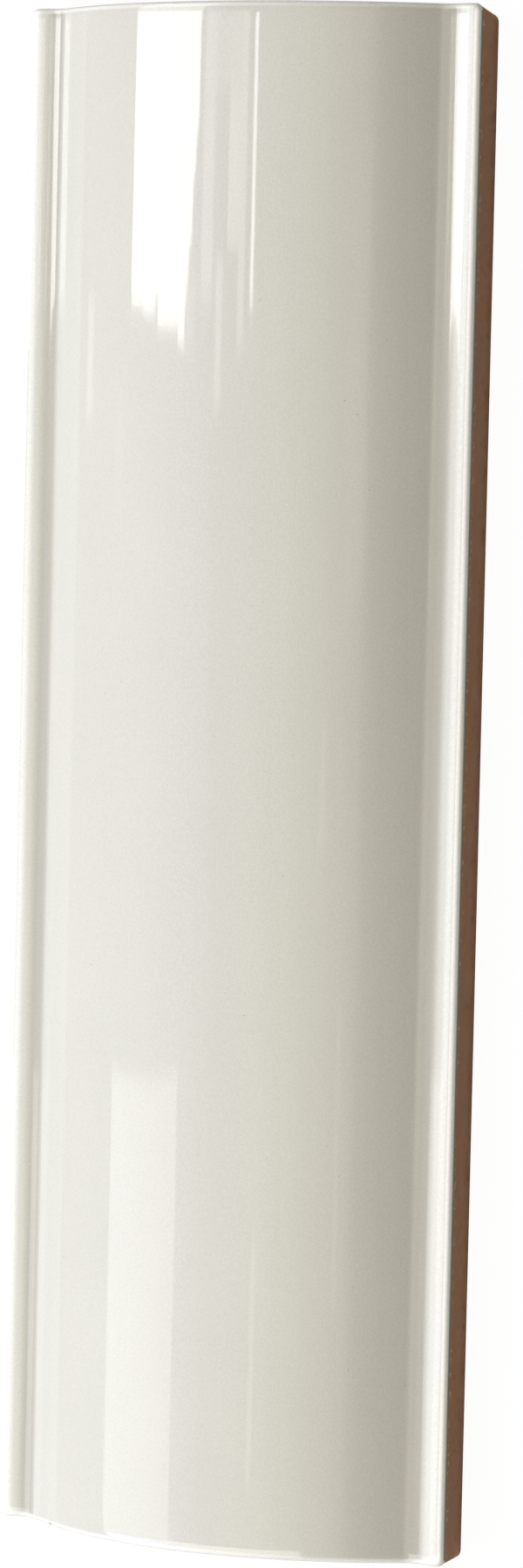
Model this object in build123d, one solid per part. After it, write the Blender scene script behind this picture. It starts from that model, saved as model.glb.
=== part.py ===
from build123d import *
from math import hypot, radians, sqrt, tan
import os

# Convex wall tile: one pressed and fired clay body, glazed on its front.
# Row frame in mm: X across the width, Y along the length, Z out of the wall.
# The bedding plane is Z = 0, and the origin is its centre.

# Outline of the front face
length = 300.0
width = 100.0
corner_radius = 1.8

# Front profile, the same all along the length
crown_height = 25.5
bead_height = 10.6
bead_radius = 8.4
bead_inset = 1.85         # bead's centre line, in from the side
valley_depth = 0.55       # below the top of the bead
valley_radius = 5.1       # hollow at the foot of the arch, softened by pooled glaze
rim_radius = 1.0          # arris where the glazed face turns down to the side

# Bare sides and ends, undercut towards the back
land = 0.9                # square stretch under the rounded arris, where the glaze ends
side_draft = 8.5

# Hollow in the back: its roof follows the arch, so the fired wall is even
wall = 9.5
bed_width = 15.5          # flat bed on each long side
end_wall = 15.0
hollow_draft = 8.0
hollow_corner = 5.0
roof_fillet = 3.0

# Keying grooves pressed into the two long beds
groove_width = 3.0
groove_depth = 1.2
groove_draft = 20.0
groove_pitch = 6.0
groove_end = 14.0         # how far a groove stops short of the tile's end

# Centres of the profile's arcs. Each arc is tangent to the next: the valley fillet
# touches the bead and the arch from outside, and the arris touches the bead from inside.
bead_x = width / 2 - bead_inset
bead_z = bead_height - bead_radius
valley_z = bead_height - valley_depth + valley_radius
valley_x = bead_x - sqrt((bead_radius + valley_radius) ** 2 - (valley_z - bead_z) ** 2)
drop = crown_height - valley_z
arch_radius = (valley_x**2 + drop**2 - valley_radius**2) / (2 * (drop + valley_radius))
arch_z = crown_height - arch_radius
arris_x = width / 2 - rim_radius
arris_z = bead_z + sqrt((bead_radius - rim_radius) ** 2 - (arris_x - bead_x) ** 2)

# The face ends at the foot of its land, and the undercut body starts there.
land_z = arris_z - land
undercut = land_z * tan(radians(side_draft))


def towards(centre, other, radius):
    """The point of a circle on the line from its centre to another centre."""
    run = other[0] - centre[0]
    climb = other[1] - centre[1]
    scale = radius / hypot(run, climb)
    return centre[0] + run * scale, centre[1] + climb * scale


def front_section():
    """Everything under the front profile and above the land, run 1 mm past both sides."""
    foot_x, foot_z = towards((0.0, arch_z), (valley_x, valley_z), arch_radius)
    inner_x, inner_z = towards((valley_x, valley_z), (bead_x, bead_z), valley_radius)
    low_z = bead_height - valley_depth
    outer_x = width / 2 + 1.0
    outer_z = bead_z + sqrt(bead_radius**2 - (outer_x - bead_x) ** 2)
    with BuildSketch(Plane.XZ) as section:
        with BuildLine():
            ThreePointArc((-foot_x, foot_z), (0.0, crown_height), (foot_x, foot_z))
            for side in (-1, 1):
                foot = (side * foot_x, foot_z)
                inner = (side * inner_x, inner_z)
                outer = (side * outer_x, outer_z)
                ThreePointArc(foot, (side * valley_x, low_z), inner)
                ThreePointArc(inner, (side * bead_x, bead_height), outer)
                Line(outer, (side * outer_x, land_z))
            Line((-outer_x, land_z), (outer_x, land_z))
        make_face()
    return section.sketch


def face_outline():
    """The tile's outline seen from the front, at the height where the undercut starts."""
    return Plane.XY.offset(land_z) * RectangleRounded(width, length, corner_radius)


def on_arris(edge):
    """True for an edge along the outline where the front turns down to a side or an end."""
    middle = edge.position_at(0.5)
    dx = abs(middle.X) - (width / 2 - corner_radius)
    dy = abs(middle.Y) - (length / 2 - corner_radius)
    if dx > 0 and dy > 0:
        inset = corner_radius - hypot(dx, dy)
    else:
        inset = corner_radius - max(dx, dy)
    upright = abs(edge.tangent_at(0.5).Z) > 0.9
    return inset < 0.01 and middle.Z > land_z + 0.01 and not upright


def face_block():
    """The glazed face: the profile run from end to end, with its arris rounded all round."""
    run = extrude(front_section(), amount=length / 2 + 1.0, both=True)
    block = run & extrude(face_outline(), amount=crown_height)
    return fillet(block.edges().filter_by(on_arris), rim_radius)


def back_block():
    """The bare body behind the face, smaller at the back than at the front."""
    return extrude(face_outline(), amount=land_z, dir=(0, 0, -1), taper=side_draft)


def hollow():
    """The recess that thins the crown, open at the back, with drafted walls and ends."""
    opening_width = width - 2 * (bed_width + undercut)
    opening_length = length - 2 * end_wall
    outline = Plane.XY * RectangleRounded(opening_width, opening_length, hollow_corner)
    pocket = extrude(outline, amount=crown_height - wall + 1.0, taper=hollow_draft)
    roof = Plane.XZ * Pos(0, arch_z) * Circle(arch_radius - wall)
    pocket = pocket & extrude(roof, amount=length, both=True)
    above = pocket.edges().filter_by(lambda edge: edge.center().Z > 1.0)
    round_roof = above.filter_by(lambda edge: abs(edge.tangent_at(0.5).Z) < 0.5)
    return fillet(round_roof, roof_fillet)


def grooves():
    """Two long keying grooves in each of the two beds."""
    bed_middle = width / 2 - undercut - bed_width / 2
    cutters = []
    for side in (-1, 1):
        for step in (-0.5, 0.5):
            across = side * bed_middle + step * groove_pitch
            slot = SlotOverall(length - 2 * groove_end, groove_width, rotation=90)
            mouth = Plane.XY * Pos(across, 0) * slot
            cutters.append(extrude(mouth, amount=groove_depth, taper=groove_draft))
    return cutters


tile = face_block() + back_block()
tile = tile - hollow() - grooves()
tile = tile.solid()

print(f"arch radius {arch_radius:.1f} mm")
print(f"clay and glaze {tile.volume / 1000:.0f} cubic cm")

os.makedirs("parts", exist_ok=True)
export_step(tile, "parts/tile.step")
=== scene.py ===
from math import asin, atan2, cos, pi, radians, sin, sqrt, tan

import bmesh
import bpy
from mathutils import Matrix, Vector


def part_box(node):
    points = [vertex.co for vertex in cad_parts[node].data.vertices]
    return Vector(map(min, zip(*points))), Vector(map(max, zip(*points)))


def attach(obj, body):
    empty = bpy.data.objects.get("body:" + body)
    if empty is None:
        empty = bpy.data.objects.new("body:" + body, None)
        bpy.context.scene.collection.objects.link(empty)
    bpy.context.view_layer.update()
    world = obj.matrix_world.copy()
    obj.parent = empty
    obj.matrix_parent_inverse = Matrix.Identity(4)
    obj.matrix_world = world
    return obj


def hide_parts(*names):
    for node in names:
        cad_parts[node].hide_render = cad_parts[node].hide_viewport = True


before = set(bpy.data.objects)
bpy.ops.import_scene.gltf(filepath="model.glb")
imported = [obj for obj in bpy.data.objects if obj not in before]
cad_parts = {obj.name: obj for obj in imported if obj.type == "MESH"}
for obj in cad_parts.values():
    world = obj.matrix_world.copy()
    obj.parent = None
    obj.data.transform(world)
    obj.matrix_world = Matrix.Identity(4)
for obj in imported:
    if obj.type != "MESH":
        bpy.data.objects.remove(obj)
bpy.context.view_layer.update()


# Pressed clay body
# The tile is one slab of red clay, pressed in a steel mould, with an arched front and a valley
# and a low bead along each side. It is square at its land, and undercut from there to the back.
MM = 0.001
low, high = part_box("tile")
width = high.x - low.x
length = high.y - low.y
crown_height = high.z
corner_radius = 1.8 * MM
bead_height = 10.6 * MM
bead_radius = 8.4 * MM
bead_inset = 1.85 * MM
valley_depth = 0.55 * MM
valley_radius = 5.1 * MM
arris = 1.0 * MM
land = 0.9 * MM
side_draft = radians(8.5)

bead_x = width / 2 - bead_inset
bead_z = bead_height - bead_radius
valley_z = bead_height - valley_depth + valley_radius
valley_x = bead_x - sqrt((bead_radius + valley_radius) ** 2 - (valley_z - bead_z) ** 2)
drop = crown_height - valley_z
arch_radius = (valley_x**2 + drop**2 - valley_radius**2) / (2 * (drop + valley_radius))
arch_z = crown_height - arch_radius
arch_turn = atan2(valley_x, valley_z - arch_z)
flank_turn = atan2(bead_x - valley_x, valley_z - bead_z)
arris_x = width / 2 - arris
arris_z = bead_z + sqrt((bead_radius - arris) ** 2 - (arris_x - bead_x) ** 2)
bead_turn = asin((arris_x - bead_x) / bead_radius)
land_z = arris_z - land

# The glaze stops a little below the arris, in a rolled edge proud of the clay.
glaze_drip = 0.35 * MM
glaze_coat = 0.12 * MM
glaze_roll = 0.08 * MM
clay_width = width - 2 * glaze_coat
clay_length = length - 2 * glaze_coat

HALF_ARCH_STEPS = 22
VALLEY_STEPS = 16
BEAD_STEPS = 8
ARRIS_STEPS = 8
CORNER_STEPS = 8
SUNK_STEPS = 8
ROWS = 100
ROW_PARTS = 3

# Distances too small to tell two places apart, and shares of a length that are most of it.
hair = 0.01 * MM
same_column = 0.001 * MM
on_the_cut = 0.0001 * MM
mostly = 0.9
nearly_all = 0.99


def front_height(x):
    """Height of the glazed front above the bedding plane, at x across the tile."""
    across = min(abs(x), arris_x)
    if across <= arch_radius * sin(arch_turn):
        return arch_z + sqrt(arch_radius**2 - across**2)
    if across <= valley_x + valley_radius * sin(flank_turn):
        return valley_z - sqrt(valley_radius**2 - (across - valley_x) ** 2)
    return bead_z + sqrt(bead_radius**2 - (across - bead_x) ** 2)


def front_columns():
    """Places across the tile where the front's curve turns by equal steps, outer arris left out."""
    half = [arch_radius * sin(arch_turn * step / HALF_ARCH_STEPS) for step in range(HALF_ARCH_STEPS + 1)]
    for step in range(1, VALLEY_STEPS + 1):
        turn = arch_turn - (arch_turn + flank_turn) * step / VALLEY_STEPS
        half.append(valley_x - valley_radius * sin(turn))
    for step in range(1, BEAD_STEPS):
        turn = -flank_turn + (flank_turn + bead_turn) * step / BEAD_STEPS
        half.append(bead_x + bead_radius * sin(turn))
    return sorted(half + [-x for x in half[1:]])


def start_block(name, size, centre):
    """A new block at its size and place, open in edit mode with all of it selected."""
    if bpy.context.object and bpy.context.object.mode == "EDIT":
        bpy.ops.object.mode_set(mode="OBJECT")
    bpy.ops.object.select_all(action="DESELECT")
    bpy.ops.mesh.primitive_cube_add(size=1, location=centre, scale=size)
    bpy.ops.object.transform_apply(location=True, rotation=True, scale=True)
    block = bpy.context.object
    block.name = name
    block.data.name = name
    bpy.ops.object.mode_set(mode="EDIT")
    return block


def choose(kind, rule):
    """Select the vertices, edges or faces that the rule accepts, and nothing else."""
    bpy.ops.mesh.select_mode(type=kind)
    bpy.ops.mesh.select_all(action="DESELECT")
    mesh = bmesh.from_edit_mesh(bpy.context.object.data)
    for item in {"VERT": mesh.verts, "EDGE": mesh.edges, "FACE": mesh.faces}[kind]:
        if rule(item):
            item.select_set(True)
    mesh.select_flush_mode()
    bmesh.update_edit_mesh(bpy.context.object.data)


def upright(edge):
    """True for an edge that runs mostly up and down."""
    first, second = edge.verts
    return abs(first.co.z - second.co.z) > mostly * edge.calc_length()


def facing_up(face):
    """True for a level face that looks up."""
    return face.normal.z > nearly_all


def facing_down(face):
    """True for a level face that looks down."""
    return face.normal.z < -nearly_all


def rim_of_top(edge):
    """True for an edge between the flat top and the wall round it."""
    ups = [facing_up(face) for face in edge.link_faces]
    return any(ups) and not all(ups)


def grow_up(rise, width_from, width_to, length_from, length_to):
    """Extrude the chosen top face upwards and widen it from one size to the other."""
    bpy.ops.mesh.extrude_region_move(TRANSFORM_OT_translate={"value": (0, 0, rise)})
    ratio = (width_to / width_from, length_to / length_from, 1)
    bpy.ops.transform.resize(value=ratio, center_override=(0, 0, 0))


def lift_columns(lift, above):
    """Raise what lies above a level, column by column, by the height that lift gives at its x."""
    mesh = bmesh.from_edit_mesh(bpy.context.object.data)
    places = []
    for x in sorted(vert.co.x for vert in mesh.verts if vert.co.z > above):
        if not places or x - places[-1] > same_column:
            places.append(x)
    for place in places:
        choose("VERT", lambda vert: vert.co.z > above and 0 <= vert.co.x - place <= same_column)
        bpy.ops.transform.translate(value=(0, 0, lift(place)))


tile = start_block("glazed_tile", (clay_width, clay_length, land_z), (0, 0, land_z / 2))
choose("EDGE", upright)
bpy.ops.mesh.bevel(offset=corner_radius - glaze_coat, segments=CORNER_STEPS, affect="EDGES")
undercut = land_z * tan(side_draft)
choose("FACE", facing_down)
bpy.ops.transform.resize(
    value=(1 - 2 * undercut / clay_width, 1 - 2 * undercut / clay_length, 1),
    center_override=(0, 0, 0),
)

# The lower end was trimmed nearly square, so its foot stands further out than the others.
trimmed_undercut = 0.15 * MM
near_foot = -length / 2 + 2 * corner_radius + undercut
choose("VERT", lambda vert: vert.co.z < hair and vert.co.y < near_foot)
bpy.ops.transform.translate(value=(0, trimmed_undercut - undercut, 0))

# The land is square, and the rolled edge of the glaze stands out from it.
flat_top = arris_z + arris
glaze_edge = arris_z - glaze_drip
choose("FACE", facing_up)
grow_up(glaze_edge - land_z, clay_width, clay_width, clay_length, clay_length)
grow_up(glaze_roll, clay_width, width, clay_length, length)
grow_up(flat_top - glaze_edge - glaze_roll, width, width, length, length)
choose("EDGE", rim_of_top)
bpy.ops.mesh.bevel(offset=arris, segments=ARRIS_STEPS, affect="EDGES")

for column in front_columns():
    bpy.ops.mesh.select_all(action="SELECT")
    bpy.ops.mesh.bisect(plane_co=(column, 0, 0), plane_no=(1, 0, 0), threshold=on_the_cut)
lift_columns(lambda x: front_height(x) - flat_top, land_z + hair)


# The melted glaze sinks a little towards both ends of the face, over the last few millimetres.
sunk_length = 5.0 * MM
sunk_depth = 0.15 * MM


def sink_ends():
    """Lower the rows near both ends, further the nearer they are to the end."""
    for step in range(1, SUNK_STEPS + 1):
        near = length / 2 - arris - sunk_length * (1 - step / SUNK_STEPS)
        choose("VERT", lambda vert: vert.co.z > glaze_edge - hair and abs(vert.co.y) > near)
        fall = sunk_depth * (2 * step - 1) / SUNK_STEPS**2
        bpy.ops.transform.translate(value=(0, 0, -fall))


# Bare clay below the rolled edge of the glaze, and glaze above it, follow the same line.
for finish in ("fired_clay", "cream_glaze"):
    tile.data.materials.append(bpy.data.materials.new(finish))


def above_clay(face):
    """True for a face of the glaze, which starts at its rolled lower edge."""
    centre = face.calc_center_median()
    return centre.z > glaze_edge + front_height(centre.x) - flat_top


choose("FACE", above_clay)
tile.active_material_index = 1
bpy.ops.object.material_slot_assign()


def runs_along(edge):
    """True for an edge that runs along the tile, over a whole row or more."""
    first, second = edge.verts
    return abs(first.co.y - second.co.y) > mostly * length / ROWS


choose("EDGE", runs_along)
bpy.ops.mesh.subdivide(number_cuts=ROWS - 1)
choose("EDGE", runs_along)
bpy.ops.mesh.subdivide(number_cuts=ROW_PARTS - 1)
sink_ends()
bpy.ops.object.mode_set(mode="OBJECT")

# Hand finishing leaves the edge of the glaze and the bare clay slightly uneven.
edge_waver = 0.10 * MM
edge_waver_size = 1.6 * MM
clay_waver = 0.04 * MM
clay_waver_size = 5.0 * MM
rim_width = 2.0 * MM
foot_height = 0.3 * MM


def inset(point):
    """How far a point stands in from the tile's straight outline."""
    return min(width / 2 - abs(point.x), length / 2 - abs(point.y))


def roughen(name, amount, size, direction, rule):
    """Move the vertices that the rule accepts by a soft noise, to and fro."""
    group = tile.vertex_groups.new(name=name)
    group.add([vert.index for vert in tile.data.vertices if rule(vert.co)], 1.0, "REPLACE")
    noise = bpy.data.textures.new(name, "CLOUDS")
    noise.noise_scale = size
    noise.noise_depth = 1
    bpy.ops.object.modifier_add(type="DISPLACE")
    waver = tile.modifiers[-1]
    waver.texture = noise
    waver.texture_coords = "LOCAL"
    waver.direction = direction
    waver.mid_level = 0.5
    waver.strength = 2 * amount
    waver.vertex_group = name
    bpy.ops.object.modifier_apply(modifier=waver.name)
    bpy.ops.object.vertex_group_remove(all=True)


def on_glaze_edge(point):
    """True for a point on the rolled lower edge of the glaze."""
    level = point.z - front_height(point.x) + flat_top
    return glaze_edge - hair < level < glaze_edge + glaze_roll + hair and inset(point) < rim_width


def on_clay_wall(point):
    """True for a point on a bare side or end, above its foot."""
    return foot_height < point.z < land_z + hair


roughen("glaze_creep", edge_waver, edge_waver_size, "Z", on_glaze_edge)
roughen("clay_unevenness", clay_waver, clay_waver_size, "NORMAL", on_clay_wall)


# The back is pressed hollow, with a roof that follows the arch, and each bed has two
# shallow keying grooves. Their formers are modelled as they stand in the lower die.
wall = 9.5 * MM
bed_width = 15.5 * MM
end_wall = 15.0 * MM
hollow_draft = radians(8.0)
hollow_corner = 5.0 * MM
roof_fillet = 3.0 * MM
groove_width = 3.0 * MM
groove_depth = 1.2 * MM
groove_draft = radians(20.0)
groove_pitch = 6.0 * MM
groove_end = 14.0 * MM
below = 1.0 * MM

opening_width = width - 2 * (bed_width + undercut)
opening_length = length - 2 * end_wall
roof_radius = arch_radius - wall
roof_side = opening_width / 2 - roof_fillet
roof_low = arch_z + sqrt(roof_radius**2 - roof_side**2)
ROOF_STEPS = 28
FILLET_STEPS = 6
GROOVE_SIDES = 24


def roof_rise(x):
    """How far the hollow's roof stands above its lowest level, at x across the tile."""
    across = min(abs(x), roof_side)
    return arch_z + sqrt(roof_radius**2 - across**2) - roof_low


def taper(level, draft, centre, size):
    """Draw in the top face of a former by its draft over its height."""
    choose("FACE", facing_up)
    ratio = [1 - 2 * level * tan(draft) / side for side in size]
    bpy.ops.transform.resize(value=(ratio[0], ratio[1], 1), center_override=centre)


def press_in(former):
    """Cut a former's shape out of the tile, and take the former away."""
    bpy.ops.object.mode_set(mode="OBJECT")
    bpy.ops.object.select_all(action="DESELECT")
    tile.select_set(True)
    bpy.context.view_layer.objects.active = tile
    bpy.ops.object.modifier_add(type="BOOLEAN")
    cut = tile.modifiers[-1]
    cut.operation = "DIFFERENCE"
    cut.solver = "EXACT"
    cut.object = former
    bpy.ops.object.modifier_apply(modifier=cut.name)
    bpy.data.objects.remove(former)


former = start_block(
    "hollow_former",
    (opening_width, opening_length, roof_low + below),
    (0, 0, (roof_low - below) / 2),
)
choose("EDGE", upright)
bpy.ops.mesh.bevel(offset=hollow_corner, segments=CORNER_STEPS, affect="EDGES")
taper(roof_low + below, hollow_draft, (0, 0, 0), (opening_width, opening_length))
choose("EDGE", rim_of_top)
bpy.ops.mesh.bevel(offset=roof_fillet, segments=FILLET_STEPS, affect="EDGES")
roof_turn = asin(roof_side / roof_radius)
for step in range(1, ROOF_STEPS):
    column = roof_radius * sin(roof_turn * (2 * step / ROOF_STEPS - 1))
    bpy.ops.mesh.select_all(action="SELECT")
    bpy.ops.mesh.bisect(plane_co=(column, 0, 0), plane_no=(1, 0, 0), threshold=on_the_cut)
lift_columns(roof_rise, roof_low - roof_fillet)
press_in(former)

bed_middle = width / 2 - undercut - bed_width / 2
for side in (-1, 1):
    for step in (-0.5, 0.5):
        across = side * bed_middle + step * groove_pitch
        bpy.ops.object.select_all(action="DESELECT")
        bpy.ops.mesh.primitive_cylinder_add(
            vertices=GROOVE_SIDES,
            radius=groove_width / 2,
            depth=groove_depth + below,
            location=(across, 0, (groove_depth - below) / 2),
        )
        bpy.ops.object.transform_apply(location=True, rotation=True, scale=True)
        former = bpy.context.object
        bpy.ops.object.mode_set(mode="EDIT")
        taper(groove_depth, groove_draft, (across, 0, 0), (groove_width, groove_width))
        reach = length / 2 - groove_end - groove_width / 2
        for way in (-1, 1):
            choose("VERT", lambda vert: way * vert.co.y > hair)
            bpy.ops.transform.translate(value=(0, way * reach, 0))
        press_in(former)

# Points that the presses left in one place are joined, and faces with many sides are split.
crease = radians(35)
bpy.ops.object.mode_set(mode="EDIT")
bpy.ops.mesh.select_all(action="SELECT")
bpy.ops.mesh.remove_doubles(threshold=same_column)
bpy.ops.mesh.dissolve_degenerate(threshold=same_column)
choose("FACE", lambda face: len(face.verts) > 4)
bpy.ops.mesh.quads_convert_to_tris(quad_method="BEAUTY", ngon_method="BEAUTY")
bpy.ops.object.mode_set(mode="OBJECT")
bpy.ops.object.shade_smooth_by_angle(angle=crease)

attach(tile, "root")
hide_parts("tile")


# Cream glaze
# A thin coat of off-white glass over the pressed clay, poured on and melted smooth in the kiln.
# It is painted darker in the valleys, partly glaze pooled there and partly painted shade, and paler on
# the beads and the edges, partly thinner glaze and partly painted highlight.
class Wire:
    """A value, colour or vector that runs between the nodes of a finish."""

    def __init__(self, finish, socket):
        self.finish = finish
        self.socket = socket

    def __add__(self, other):
        return self.finish.sums("ADD", self, other)

    def __sub__(self, other):
        return self.finish.sums("SUBTRACT", self, other)

    def __rsub__(self, other):
        return self.finish.sums("SUBTRACT", other, self)

    def __mul__(self, other):
        return self.finish.sums("MULTIPLY", self, other)

    def __truediv__(self, other):
        return self.finish.sums("DIVIDE", self, other)

    def __rtruediv__(self, other):
        return self.finish.sums("DIVIDE", other, self)

    def __abs__(self):
        return self.finish.sums("ABSOLUTE", self)

    __radd__ = __add__
    __rmul__ = __mul__


class Finish:
    """The nodes of one material, or of the room round the tile."""

    def __init__(self, owner):
        owner.use_nodes = True
        self.tree = owner.node_tree
        self.tree.nodes.clear()

    def node(self, kind, settings=None, sockets=None, out=0):
        """Add a node with its settings, fill its sockets, and give back one of its outputs."""
        made = self.tree.nodes.new(kind)
        for name, value in (settings or {}).items():
            if name == "stops":
                self.set_stops(made.color_ramp, value)
            else:
                setattr(made, name, value)
        for name, value in (sockets or {}).items():
            if isinstance(value, Wire):
                self.tree.links.new(value.socket, made.inputs[name])
            else:
                made.inputs[name].default_value = value
        return Wire(self, made.outputs[out]) if made.outputs else None

    def set_stops(self, ramp, stops):
        """Give a colour ramp its stops, from the lowest to the highest."""
        while len(ramp.elements) > 1:
            ramp.elements.remove(ramp.elements[-1])
        for number, (place, colour) in enumerate(stops):
            stop = ramp.elements[0] if number == 0 else ramp.elements.new(place)
            stop.position = place
            stop.color = colour

    def sums(self, operation, *terms):
        """Sum, product or the like of numbers and values."""
        return self.node("ShaderNodeMath", {"operation": operation}, dict(enumerate(terms)))

    def parts(self, vector):
        """The X, Y and Z of a vector."""
        split = self.node("ShaderNodeSeparateXYZ", {}, {"Vector": vector})
        return [Wire(self, socket) for socket in split.socket.node.outputs]

    def fade(self, value, start, end):
        """0 before the start, 1 past the end, and smooth between them."""
        sockets = {"Value": value, "From Min": start, "From Max": end}
        return self.node("ShaderNodeMapRange", {"interpolation_type": "SMOOTHSTEP"}, sockets)

    def blend(self, factor, first, second):
        """Two colours mixed by a factor. A Mix node's colour sockets are known by number alone."""
        return self.node("ShaderNodeMix", {"data_type": "RGBA"}, {0: factor, 6: first, 7: second}, out=2)

    def cloud(self, place, size, detail=2.0, rough=0.5):
        """Soft noise from 0 to 1 whose blobs are about as wide as the size."""
        sockets = {"Vector": place, "Scale": 1 / size, "Detail": detail, "Roughness": rough}
        return self.node("ShaderNodeTexNoise", {"noise_dimensions": "3D"}, sockets)

    def dots(self, place, cell, radius, rarity):
        """1 inside a few small dots: one to a cell, and only in the cells above the rarity."""
        sockets = {"Vector": place, "Scale": 1 / cell}
        distance = self.node("ShaderNodeTexVoronoi", {"feature": "F1"}, sockets)
        luck = self.parts(Wire(self, distance.socket.node.outputs["Color"]))[0]
        return (1 - self.fade(distance, 0.6 * radius, radius)) * self.fade(luck, rarity, rarity + 0.01)


def opaque(red, green, blue):
    """A colour with its alpha."""
    return (red, green, blue, 1.0)


# Colours of the glaze. The pooled one is partly painted shade, the thin and rim ones partly painted
# highlight, and the edge one partly painted shade.
full_glaze = opaque(0.715, 0.700, 0.640)
pooled_and_shaded_glaze = opaque(0.530, 0.505, 0.445)
thin_glaze_and_highlight = opaque(0.915, 0.905, 0.860)
thin_rim_and_highlight_glaze = opaque(0.980, 0.970, 0.930)
thin_and_shaded_edge_glaze = opaque(0.330, 0.320, 0.270)
bare_speck = opaque(0.950, 0.940, 0.900)
pinhole = opaque(0.300, 0.260, 0.200)
nicked_clay = opaque(0.400, 0.300, 0.230)
pool_and_shade_x = valley_x - 0.5 * MM
groove_shade_inset = 1.35 * MM

glaze = Finish(bpy.data.materials["cream_glaze"])
place = glaze.node("ShaderNodeTexCoord", out="Object")
x, y = glaze.parts(place)[:2]
across = abs(x)
from_side = width / 2 - across
from_end = length / 2 - abs(y)
# Painted shade, partly pooled glaze: the glaze is darker over the valleys.
pool_and_shade = 1 - glaze.fade(abs(across - pool_and_shade_x), 0.6 * MM, 2.8 * MM)
# Painted highlight, partly thinner glaze: the bead crests are paler.
thin_crest_and_highlight = glaze.fade(across, bead_x - 1.6 * MM, bead_x - 0.1 * MM)
# Painted highlight, partly thinner glaze: the rims along the sides and ends are near white.
side_rim_and_highlight = 1 - glaze.fade(from_side, 1.1 * MM, 1.25 * MM)
end_rim_and_highlight = 1 - glaze.fade(from_end, 0.5 * MM, 1.3 * MM)
# Painted shade, partly thin glaze over the clay: the lowest edge of the glaze at each side is dark.
thin_and_shaded_side_edge = 1 - glaze.fade(from_side, 0.01 * MM, 0.12 * MM)
# Painted shade of a shallow groove: a darker line along each bead.
groove_shade_line = 1 - glaze.fade(abs(from_side - groove_shade_inset), 0, 0.22 * MM)

# The melt left soft clouds in the colour, a fine grain, and a few pale specks and pinholes.
cloudy = glaze.cloud(place, 26 * MM, 1.0)
grain = glaze.cloud(place, 0.40 * MM, 1.0)
pale_specks = glaze.dots(place, 1.6 * MM, 0.10, 0.93)
pinholes = glaze.dots(place, 2.3 * MM, 0.06, 0.93)
shade = 0.965 + cloudy * 0.04 + (grain - 0.5) * 0.18
# The glaze's own colour is mixed here with painted shade in the valleys, a painted shade line and a dark
# lower edge, and painted highlight on the crests and rims.
colour = glaze.blend(pool_and_shade, full_glaze, pooled_and_shaded_glaze)
colour = glaze.blend(thin_crest_and_highlight, colour, thin_glaze_and_highlight)
colour = glaze.blend(groove_shade_line * 0.4, colour, full_glaze)
colour = glaze.blend(glaze.sums("MAXIMUM", side_rim_and_highlight, end_rim_and_highlight), colour, thin_rim_and_highlight_glaze)
colour = glaze.blend(thin_and_shaded_side_edge, colour, thin_and_shaded_edge_glaze)
colour = glaze.node("ShaderNodeVectorMath", {"operation": "SCALE"}, {0: colour, "Scale": shade})
colour = glaze.blend(pale_specks * 0.6, colour, bare_speck)
colour = glaze.blend(pinholes * 0.7, colour, pinhole)

# One small nick in the rim at the lower end, where the clay shows through.
nick = (-35.2 * MM, -149.7 * MM, 14.9 * MM)
between = {0: place, 1: nick}
from_nick = glaze.node("ShaderNodeVectorMath", {"operation": "DISTANCE"}, between, out="Value")
nicked = 1 - glaze.fade(from_nick + grain * 0.3 * MM, 0.45 * MM, 0.75 * MM)
colour = glaze.blend(nicked * 0.7, colour, nicked_clay)

# Its skin is glossy, with a slow ripple and a faint orange peel.
ripple = glaze.cloud(place, 9 * MM, 1.0) * 0.010 * MM
peel = glaze.cloud(place, 0.9 * MM, 1.0) * 0.0012 * MM
hollows = pale_specks * 0.02 * MM + pinholes * 0.04 * MM + nicked * 0.15 * MM
skin = glaze.node("ShaderNodeBump", {}, {"Distance": 1.0, "Height": ripple + peel - hollows})
coat = glaze.node("ShaderNodeBsdfPrincipled", {}, {
    "Base Color": colour,
    "Roughness": 0.03 + cloudy * 0.03,
    "IOR": 1.5,
    "Normal": skin,
})
glaze.node("ShaderNodeOutputMaterial", {}, {"Surface": coat})


# Bare fired clay
# Iron-red earthenware, unglazed on the sides, ends and back, rough from the press and the kiln.
# Flux from the glaze has browned it along the edge, and it is painted paler lower down, as painted light
# thrown up from the floor; its pits are painted darker, as painted shade.
browned_clay = opaque(0.540, 0.290, 0.165)
painted_floor_light_clay = opaque(0.740, 0.430, 0.300)
red_clay = opaque(0.660, 0.310, 0.170)
stain_and_pit_shade_clay = opaque(0.420, 0.250, 0.170)
pale_grit = opaque(0.780, 0.560, 0.420)

clay = Finish(bpy.data.materials["fired_clay"])
place = clay.node("ShaderNodeTexCoord", out="Object")
z = clay.parts(place)[2]
patches = clay.cloud(place, 6 * MM, 3.0, 0.6)
stains = clay.cloud(place, 2.2 * MM, 2.0, 0.6)
grit = clay.cloud(place, 0.35 * MM, 2.0, 0.6)
shaded_pits = clay.dots(place, 1.8 * MM, 0.20, 0.80)
chips = clay.fade(clay.cloud(place, 1.1 * MM, 1.0), 0.60, 0.66) * clay.fade(z, land_z - 1.2 * MM, land_z)
# The wall runs from browned clay under the glaze to a paler colour at its foot; the paler foot is
# painted light, standing in for light from the floor.
colour = clay.blend(clay.fade(z, land_z, 0), browned_clay, painted_floor_light_clay)
colour = clay.blend(clay.fade(patches, 0.45, 0.75) * 0.7, colour, red_clay)
colour = clay.blend(clay.fade(stains, 0.50, 0.80) * 0.6, colour, stain_and_pit_shade_clay)
colour = clay.blend(clay.fade(grit, 0.62, 0.75) * 0.5, colour, pale_grit)
colour = clay.blend(chips * 0.7, colour, pale_grit)
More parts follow.
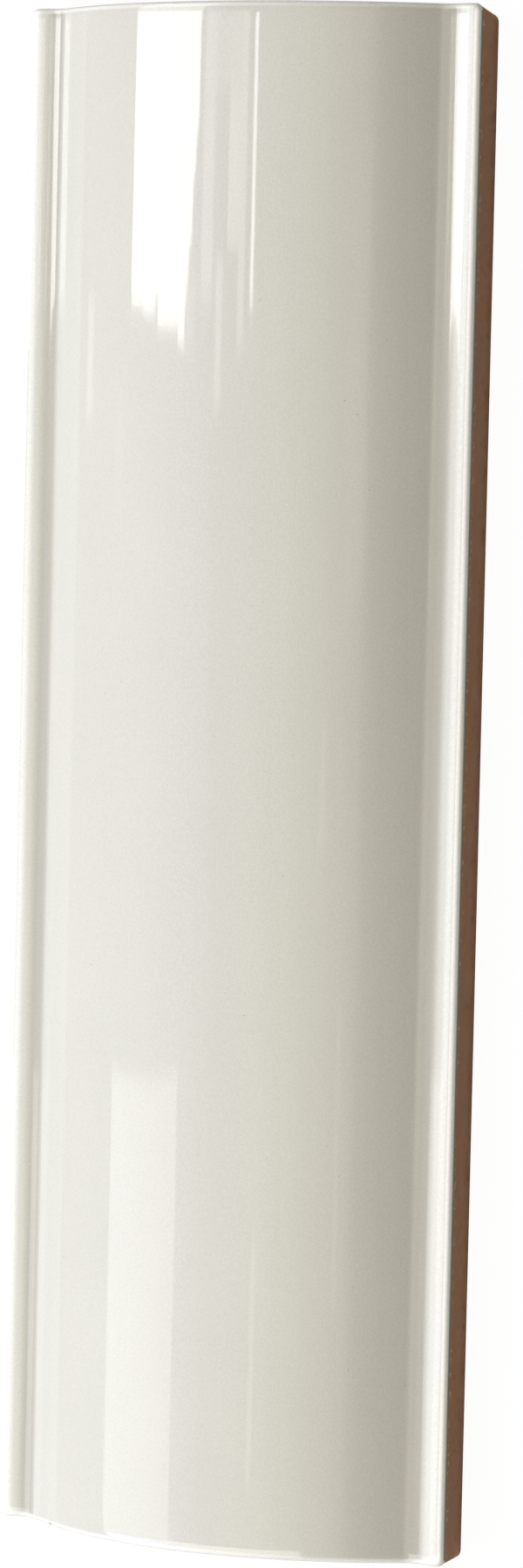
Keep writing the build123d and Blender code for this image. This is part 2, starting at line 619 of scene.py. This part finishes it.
# Painted shade: the pits are darkened.
colour = clay.blend(shaded_pits * 0.6, colour, stain_and_pit_shade_clay)
rough = 0.02 * MM * stains + 0.03 * MM * grit - 0.05 * MM * shaded_pits
skin = clay.node("ShaderNodeBump", {}, {"Distance": 1.0, "Height": rough})
body = clay.node("ShaderNodeBsdfPrincipled", {}, {
    "Base Color": colour,
    "Roughness": 0.85 + grit * 0.1,
    "IOR": 1.45,
    "Normal": skin,
})
clay.node("ShaderNodeOutputMaterial", {}, {"Surface": body})


# Studio floor
# A plain pale floor that the tile lies on with its back down. It is painted a soft grey, so
# that it throws little light into the glaze, and it glows white towards the camera.
floor_size = 20.0
floor_grey = opaque(0.50, 0.50, 0.49)
floor_white = opaque(1.0, 1.0, 1.0)
white_glow = 1.05
white_share = 0.92

bpy.ops.object.select_all(action="DESELECT")
bpy.ops.mesh.primitive_plane_add(size=floor_size)
floor = bpy.context.object
floor.name = "studio_floor"
floor.data.materials.append(bpy.data.materials.new("floor_paint"))
paint = Finish(bpy.data.materials["floor_paint"])
seen = paint.node("ShaderNodeLightPath", out="Is Camera Ray")
painted = paint.node("ShaderNodeBsdfDiffuse", {}, {"Color": floor_grey})
glowing = paint.node("ShaderNodeEmission", {}, {"Color": floor_white, "Strength": white_glow})
surface = paint.node("ShaderNodeMixShader", {}, {0: seen * white_share, 1: painted, 2: glowing})
paint.node("ShaderNodeOutputMaterial", {}, {"Surface": surface})


# Studio light
# Soft daylight from tall window panes to the tile's left, with a curtain's folds and a bright
# slit beside them, big dim panels above and below, and a pale room that darkens to the right.
panel_distance = 1.3
sill = 0.32
daylight = (0.99, 1.0, 1.0)
warm_daylight = (1.0, 0.94, 0.89)
blue_daylight = (0.69, 0.83, 1.0)


def hang_panel(name, turn_from, turn_to, bottom, top, radiance, colour):
    """A light panel that faces the tile, set between two turns from straight up."""
    turn = radians((turn_from + turn_to) / 2)
    span = 2 * panel_distance * tan(radians(turn_to - turn_from) / 2)
    lamp = bpy.data.lights.new(name, "AREA")
    lamp.shape = "RECTANGLE"
    lamp.size = span
    lamp.size_y = top - bottom
    lamp.color = colour
    lamp.energy = radiance * pi * span * (top - bottom)
    holder = bpy.data.objects.new(name, lamp)
    bpy.context.scene.collection.objects.link(holder)
    holder.location = (panel_distance * sin(turn), (bottom + top) / 2, panel_distance * cos(turn))
    holder.rotation_euler = (0, turn, 0)
    holder.visible_camera = False


# Each panel's two turns in degrees, its lower and upper place along the tile, and its light.
for name, turn_from, turn_to, bottom, top, radiance, colour in (
    ("pane_1", -61.4, -55.3, 0.116, sill, 7.7, daylight),
    ("pane_2", -55.3, -50.3, 0.113, sill, 7.9, daylight),
    ("pane_3", -50.3, -49.0, 0.118, sill, 7.7, daylight),
    ("pane_4", -49.0, -40.0, 0.107, sill, 8.0, daylight),
    ("pane_5", -40.0, -37.5, 0.100, sill, 7.7, daylight),
    ("pane_6", -37.5, -36.4, 0.122, sill, 7.7, daylight),
    ("pane_7", -36.4, -35.2, 0.139, sill, 7.7, daylight),
    ("pane_8", -35.2, -34.2, 0.165, sill, 7.7, daylight),
    ("pane_9", -34.2, -33.4, 0.182, sill, 7.7, daylight),
    ("window_reveal", -37.5, -33.6, 0.095, 0.122, 0.9, daylight),
    ("curtain_1", -31.3, -27.0, 0.117, sill, 1.7, daylight),
    ("curtain_2", -27.0, -21.6, 0.200, sill, 1.1, daylight),
    ("curtain_3", -25.2, -22.9, 0.076, 0.135, 2.0, warm_daylight),
    ("curtain_4", -21.6, -17.2, 0.139, 0.195, 2.4, warm_daylight),
    ("curtain_5", -21.6, -17.2, 0.195, sill, 1.5, daylight),
    ("curtain_6", -17.2, -14.8, 0.100, sill, 2.1, warm_daylight),
    ("bright_slit", -12.6, -11.4, 0.115, sill, 7.4, daylight),
    ("low_slit", -4.2, -2.6, -0.35, -0.25, 1.2, daylight),
    ("left_slit_1", -85.1, -81.5, 0.070, 0.117, 0.9, daylight),
    ("left_slit_2", -67.5, -65.1, 0.025, 0.085, 0.5, daylight),
    ("right_blind_1", 23.0, 29.0, 0.0, 0.18, 0.4, warm_daylight),
    ("right_blind_2", 16.2, 17.8, -0.10, -0.045, 0.8, warm_daylight),
    ("right_blind_3", 24.0, 25.6, -0.28, -0.15, 0.6, warm_daylight),
    ("upper_window", -62.0, -33.0, sill, 1.3, 3.2, daylight),
    ("low_screen", -62.6, -33.5, -0.5, -0.19, 2.0, daylight),
    ("lower_window", -62.6, -33.0, -1.4, -0.5, 4.8, blue_daylight),
    ("lower_screen", -33.0, 15.0, -1.4, -0.5, 3.7, warm_daylight),
):
    hang_panel(name, turn_from, turn_to, bottom, top, radiance, colour)

# The room's own glow at each turn from straight up, in degrees: red, green and blue.
room_glow = (
    (-90, 0.30, 0.24, 0.20),
    (-70, 0.04, 0.03, 0.14),
    (-60, 0.06, 0.07, 0.26),
    (-47, 0.28, 0.31, 0.53),
    (-33, 0.34, 0.35, 0.50),
    (-22, 0.26, 0.24, 0.28),
    (-10, 0.94, 0.91, 0.85),
    (0, 1.20, 1.20, 0.95),
    (20, 1.40, 1.34, 1.06),
    (27.5, 1.22, 1.12, 0.86),
    (31, 0.30, 0.24, 0.16),
    (40, 0.0, 0.0, 0.0),
)
brightest = 2.0
far_room = opaque(0.025, 0.025, 0.025)
backdrop = opaque(0.5, 0.5, 0.5)
world = bpy.data.worlds.new("studio_room")
bpy.context.scene.world = world
room = Finish(world)
x, y, z = room.parts(room.node("ShaderNodeTexCoord", out="Generated"))
turn = room.sums("ARCTAN2", x, z)
stops = [
    (0.5 + degrees / 180, opaque(red / brightest, green / brightest, blue / brightest))
    for degrees, red, green, blue in room_glow
]
glow = room.node("ShaderNodeValToRGB", {"stops": stops}, {0: turn / pi + 0.5})
glow = room.blend(room.fade(abs(y), 0.3, 0.6), glow, far_room)
seen = room.node("ShaderNodeLightPath", out="Is Camera Ray")
glow = room.blend(seen, glow, backdrop)
walls = room.node("ShaderNodeBackground", {}, {"Color": glow, "Strength": brightest})
room.node("ShaderNodeOutputWorld", {}, {"Surface": walls})
bpy.context.scene.view_settings.view_transform = "Standard"


# Camera
# It stands to the tile's right, high above it, and looks down across the front with a long lens.
# Its place, its tilt and its lens were fitted to the tile's outline in the photograph.
PHOTO_HEIGHT = 1800
camera_distance = 1.2575
camera_aside = 0.385 * MM
camera_below = -1.4645 * MM
camera_turn = radians(29.066)
camera_tip = radians(-3.214)
camera_roll = radians(1.318)
focal_pixels = 7347.3
eye = bpy.data.cameras.new("camera")
eye.sensor_width = 36.0
eye.lens = focal_pixels * eye.sensor_width / PHOTO_HEIGHT
camera = bpy.data.objects.new("camera", eye)
bpy.context.scene.collection.objects.link(camera)
camera.rotation_mode = "ZXY"
camera.rotation_euler = (camera_tip, camera_turn, camera_roll)
bpy.context.view_layer.update()
facing = camera.matrix_world.to_3x3()
camera.location = facing @ Vector((camera_aside, camera_below, camera_distance))
bpy.context.scene.camera = camera
